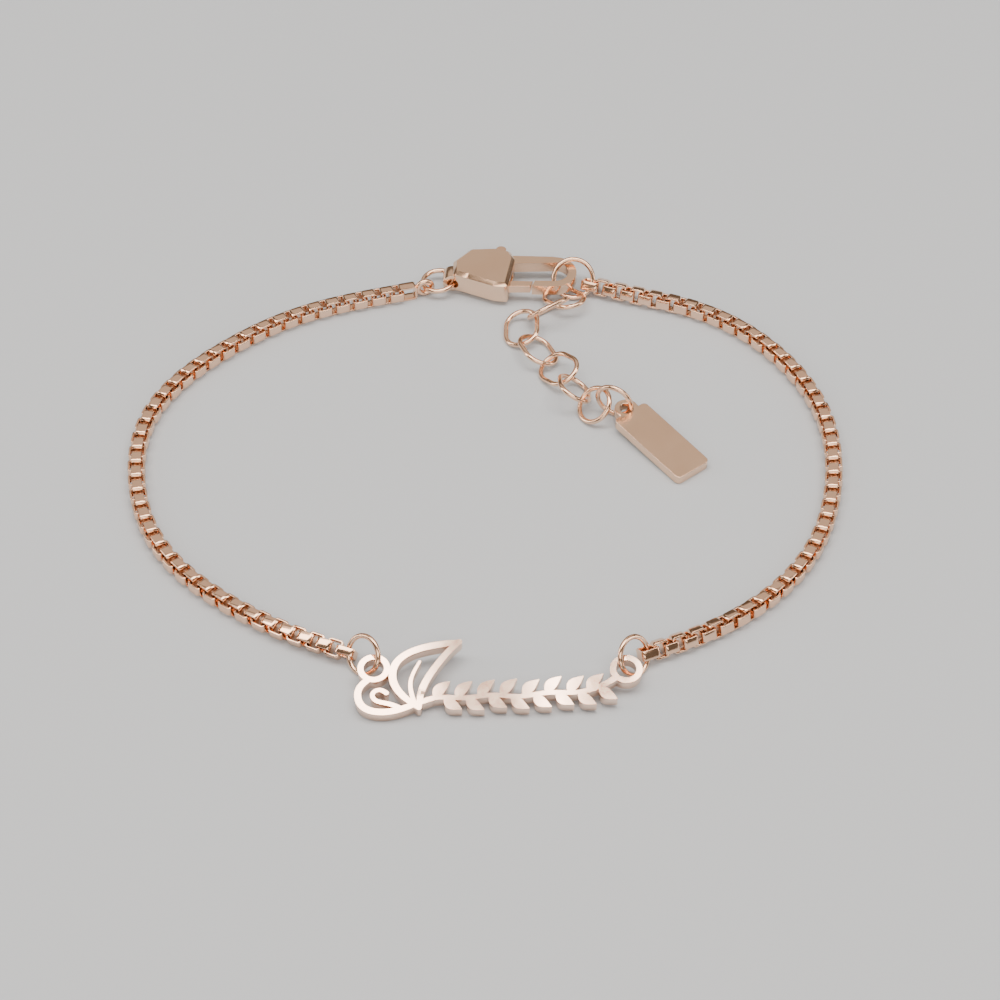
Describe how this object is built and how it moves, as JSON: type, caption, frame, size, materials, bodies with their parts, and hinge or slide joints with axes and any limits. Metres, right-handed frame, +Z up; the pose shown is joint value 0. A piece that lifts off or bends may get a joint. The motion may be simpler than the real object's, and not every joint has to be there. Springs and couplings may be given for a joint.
{
  "type": "chain bracelet",
  "caption": "Box-chain bracelet lying as a closed loop, with a pierced leaf-scroll plate in front, a lobster clasp behind and an extender that ends in a small flat tag",
  "frame": {"origin": "bottom centre of the whole bracelet's bounding box, on the surface it lies on", "axes": "X across the loop along the plate, positive to the right as seen from the front; Y from the plate at the front towards the clasp at the back; Z up"},
  "size_m": [0.0586, 0.0528, 0.0034],
  "materials": {
    "plate": "mirror polished rose gold plate",
    "chain": "polished rose gold plate",
    "wire": "polished rose gold plate",
    "satin": "satin rose gold plate with polished edges"
  },
  "bodies": {
    "bracelet": {"nameplate": "plate", "jump_ring_left": "wire", "jump_ring_right": "wire", "chain_left": "chain", "chain_right": "chain", "end_ring_left": "chain", "clasp_ring": "wire", "clasp_body": "satin", "hook_ring": "wire", "extender_link_1": "wire", "extender_link_2": "wire", "extender_link_3": "wire", "extender_link_4": "wire", "extender_link_5": "wire", "extender_link_6": "wire", "extender_ring": "wire", "tag_ring": "wire", "tag": "satin"},
    "lever": {"clasp_lever": "wire"}
  },
  "joints": [
    {"name": "clasp_lever_pivot", "type": "hinge", "parent": "bracelet", "child": "lever", "pos_m": [0.0007, 0.02225, 0.00137], "axis": [0, 0, 1], "range_deg": [0, 24]}
  ]
}
